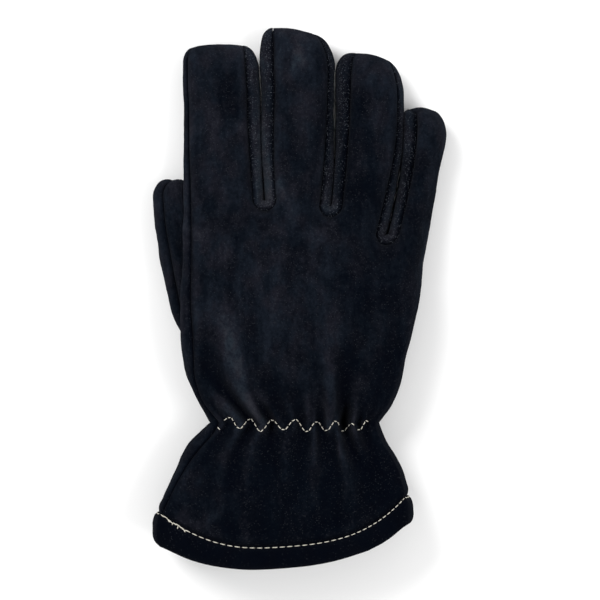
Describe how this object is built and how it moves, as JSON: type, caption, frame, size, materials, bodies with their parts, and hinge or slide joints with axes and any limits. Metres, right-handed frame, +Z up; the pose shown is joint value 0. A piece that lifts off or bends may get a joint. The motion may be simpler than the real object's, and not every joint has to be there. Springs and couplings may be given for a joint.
{
  "type": "firefighter glove",
  "caption": "Hollow leather work glove with a gathered wrist, flared gauntlet cuff and rolled hem, lying palm down.",
  "frame": {"origin": "centre of the glove's box, on the surface that the palm rests on", "axes": "+Z up out of the back of the hand, +Y from the cuff to the fingertips, -X towards the thumb"},
  "size_m": [0.1638, 0.3001, 0.0472],
  "materials": {
    "leather": "brushed suede split leather, black with a faint blue cast, matt",
    "gusset_leather": "brushed suede split leather, black, a little more brushed than the panels",
    "thread": "off-white twisted sewing thread"
  },
  "bodies": {
    "root": {"back_panel": "leather", "palm_panel": "leather", "fourchette_index_middle": "gusset_leather", "fourchette_middle_ring": "gusset_leather", "fourchette_ring_little": "gusset_leather", "thumb_back": "leather", "thumb_front": "leather", "cuff_hem": "leather"}
  },
  "joints": []
}
